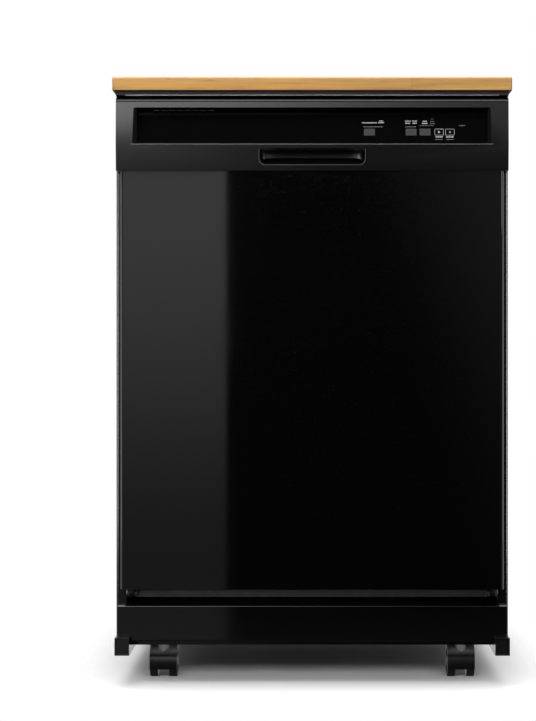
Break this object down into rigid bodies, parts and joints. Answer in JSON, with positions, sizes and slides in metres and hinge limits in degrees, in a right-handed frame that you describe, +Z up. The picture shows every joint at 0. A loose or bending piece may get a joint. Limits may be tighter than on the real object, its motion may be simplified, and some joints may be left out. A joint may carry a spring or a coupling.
{
  "type": "portable dishwasher",
  "caption": "Portable dishwasher on casters: wooden worktop, drop-down front door with a button panel and finger pocket, racks and spray arms in a deep tub.",
  "frame": {"origin": "on the floor under the middle of the worktop", "axes": "+Z up, the door faces -Y, +X to the right as seen from the door"},
  "size_m": [0.6128, 0.6984, 0.9398],
  "materials": {
    "maple_board": "oiled pale maple, satin",
    "black_steel": "gloss black enamel",
    "frame_steel": "semi-gloss black paint",
    "zinc_steel": "zinc-plated, satin",
    "console_black": "fine-textured black moulding",
    "gloss_black": "polished black",
    "button_grey": "satin grey",
    "button_black": "black with a printed outline",
    "tub_grey": "light grey moulded, satin",
    "rack_coat": "grey nylon-coated wire",
    "grey_plastic": "mid grey moulded",
    "dark_plastic": "black moulded",
    "white_plastic": "white moulded",
    "blue_plastic": "blue moulded",
    "seal_rubber": "black elastomer",
    "steel_tube": "heat-tinted steel sheath",
    "board_green": "green circuit board",
    "wheel_rubber": "dark grey tread"
  },
  "bodies": {
    "cabinet": {"worktop": "maple_board", "top_rails": "frame_steel", "left_side_panel": "black_steel", "right_side_panel": "black_steel", "back_panel": "frame_steel", "hose_well": "dark_plastic", "hose_fittings": "dark_plastic", "base_frame": "frame_steel", "access_panel": "frame_steel", "frame_legs": "zinc_steel", "tub": "tub_grey", "door_gasket": "seal_rubber", "sump": "dark_plastic", "filter_plate": "grey_plastic", "heating_element": "steel_tube", "water_feed_tube": "grey_plastic", "wash_pump": "dark_plastic", "drain_pump": "dark_plastic", "inlet_valve": "white_plastic", "door_springs": "zinc_steel", "slide_guides": "grey_plastic", "door_strike": "zinc_steel", "cabinet_screws": "zinc_steel"},
    "door": {"door_panel": "black_steel", "console": "console_black", "fascia": "gloss_black", "door_liner": "tub_grey", "hinge_arms": "zinc_steel", "door_latch": "white_plastic", "control_board": "board_green", "dispenser": "tub_grey", "door_seal": "seal_rubber", "door_screws": "zinc_steel"},
    "latch_bolt": {"latch_bolt": "white_plastic"},
    "dispenser_lid": {"dispenser_lid": "grey_plastic"},
    "rinse_cap": {"rinse_cap": "blue_plastic"},
    "filter_cup": {"filter_cup": "grey_plastic"},
    "float_cap": {"float_cap": "grey_plastic"},
    "lower_spray_arm": {"lower_spray_arm": "grey_plastic"},
    "lower_rack": {"lower_rack": "rack_coat", "lower_rack_wheels": "grey_plastic"},
    "silverware_basket": {"silverware_basket": "grey_plastic"},
    "rack_slides": {"rack_slides": "zinc_steel"},
    "upper_rack": {"upper_rack": "rack_coat", "upper_rack_rollers": "grey_plastic", "upper_arm_feed": "grey_plastic"},
    "upper_spray_arm": {"upper_spray_arm": "grey_plastic"},
    "cycle_button": {"cycle_button": "button_grey"},
    "first_option_button": {"first_option_button": "button_grey"},
    "second_option_button": {"second_option_button": "button_grey"},
    "start_button": {"start_button": "button_black"},
    "cancel_button": {"cancel_button": "button_black"},
    "front_left_caster": {"front_left_caster": "dark_plastic"},
    "front_left_wheels": {"front_left_wheels": "wheel_rubber"},
    "front_right_caster": {"front_right_caster": "dark_plastic"},
    "front_right_wheels": {"front_right_wheels": "wheel_rubber"},
    "rear_left_caster": {"rear_left_caster": "dark_plastic"},
    "rear_left_wheels": {"rear_left_wheels": "wheel_rubber"},
    "rear_right_caster": {"rear_right_caster": "dark_plastic"},
    "rear_right_wheels": {"rear_right_wheels": "wheel_rubber"}
  },
  "joints": [
    {"name": "door_hinge", "type": "hinge", "parent": "cabinet", "child": "door", "pos_m": [0, -0.3, 0.145], "axis": [1, 0, 0], "range_deg": [0, 90]},
    {"name": "latch_slide", "type": "slide", "parent": "door", "child": "latch_bolt", "axis": [0, 0, 1], "range_m": [0, 0.0035]},
    {"name": "dispenser_lid_hinge", "type": "hinge", "parent": "door", "child": "dispenser_lid", "pos_m": [-0.072, -0.2827, 0.432], "axis": [0, 0, 1], "range_deg": [0, 95]},
    {"name": "rinse_cap_turn", "type": "hinge", "parent": "door", "child": "rinse_cap", "pos_m": [0.042, -0.285, 0.432], "axis": [0, -1, 0], "range_deg": [0, 90]},
    {"name": "filter_cup_turn", "type": "hinge", "parent": "cabinet", "child": "filter_cup", "pos_m": [0.042, 0.008, 0.159], "axis": [0, 0, 1], "range_deg": [0, 90]},
    {"name": "float_slide", "type": "slide", "parent": "cabinet", "child": "float_cap", "axis": [0, 0, 1], "range_m": [0, 0.006]},
    {"name": "lower_spray_arm_spin", "type": "hinge", "parent": "cabinet", "child": "lower_spray_arm", "pos_m": [0, -0.01, 0.18], "axis": [0, 0, 1], "continuous": true},
    {"name": "lower_rack_slide", "type": "slide", "parent": "cabinet", "child": "lower_rack", "axis": [0, -1, 0], "range_m": [0, 0.08]},
    {"name": "basket_lift", "type": "slide", "parent": "lower_rack", "child": "silverware_basket", "axis": [0, 0, 1], "range_m": [0, 0.12]},
    {"name": "rack_slides_travel", "type": "slide", "parent": "cabinet", "child": "rack_slides", "axis": [0, -1, 0], "range_m": [0, 0.225]},
    {"name": "upper_rack_travel", "type": "slide", "parent": "cabinet", "child": "upper_rack", "axis": [0, -1, 0], "range_m": [0, 0.45]},
    {"name": "upper_spray_arm_spin", "type": "hinge", "parent": "upper_rack", "child": "upper_spray_arm", "pos_m": [0, -0.01, 0.503], "axis": [0, 0, 1], "continuous": true},
    {"name": "cycle_button_press", "type": "slide", "parent": "door", "child": "cycle_button", "axis": [0, 0.9724, -0.2334], "range_m": [0, 0.0008], "stiffness_N_per_m": 600},
    {"name": "first_option_button_press", "type": "slide", "parent": "door", "child": "first_option_button", "axis": [0, 0.9724, -0.2334], "range_m": [0, 0.0008], "stiffness_N_per_m": 600},
    {"name": "second_option_button_press", "type": "slide", "parent": "door", "child": "second_option_button", "axis": [0, 0.9724, -0.2334], "range_m": [0, 0.0008], "stiffness_N_per_m": 600},
    {"name": "start_button_press", "type": "slide", "parent": "door", "child": "start_button", "axis": [0, 0.9724, -0.2334], "range_m": [0, 0.0008], "stiffness_N_per_m": 600},
    {"name": "cancel_button_press", "type": "slide", "parent": "door", "child": "cancel_button", "axis": [0, 0.9724, -0.2334], "range_m": [0, 0.0008], "stiffness_N_per_m": 600},
    {"name": "front_left_swivel", "type": "hinge", "parent": "cabinet", "child": "front_left_caster", "pos_m": [-0.237, -0.219, 0.06], "axis": [0, 0, 1], "continuous": true},
    {"name": "front_left_roll", "type": "hinge", "parent": "front_left_caster", "child": "front_left_wheels", "pos_m": [-0.237, -0.203, 0.025], "axis": [1, 0, 0], "continuous": true},
    {"name": "front_right_swivel", "type": "hinge", "parent": "cabinet", "child": "front_right_caster", "pos_m": [0.237, -0.219, 0.06], "axis": [0, 0, 1], "continuous": true},
    {"name": "front_right_roll", "type": "hinge", "parent": "front_right_caster", "child": "front_right_wheels", "pos_m": [0.237, -0.203, 0.025], "axis": [1, 0, 0], "continuous": true},
    {"name": "rear_left_swivel", "type": "hinge", "parent": "cabinet", "child": "rear_left_caster", "pos_m": [-0.237, 0.219, 0.06], "axis": [0, 0, 1], "continuous": true},
    {"name": "rear_left_roll", "type": "hinge", "parent": "rear_left_caster", "child": "rear_left_wheels", "pos_m": [-0.237, 0.235, 0.025], "axis": [1, 0, 0], "continuous": true},
    {"name": "rear_right_swivel", "type": "hinge", "parent": "cabinet", "child": "rear_right_caster", "pos_m": [0.237, 0.219, 0.06], "axis": [0, 0, 1], "continuous": true},
    {"name": "rear_right_roll", "type": "hinge", "parent": "rear_right_caster", "child": "rear_right_wheels", "pos_m": [0.237, 0.235, 0.025], "axis": [1, 0, 0], "continuous": true}
  ],
  "couplings": [
    {"joint": "lower_rack_slide", "follows": "door_hinge", "m_per_rad": 0.0509},
    {"joint": "rack_slides_travel", "follows": "door_hinge", "m_per_rad": 0.1432},
    {"joint": "upper_rack_travel", "follows": "door_hinge", "m_per_rad": 0.2864}
  ]
}
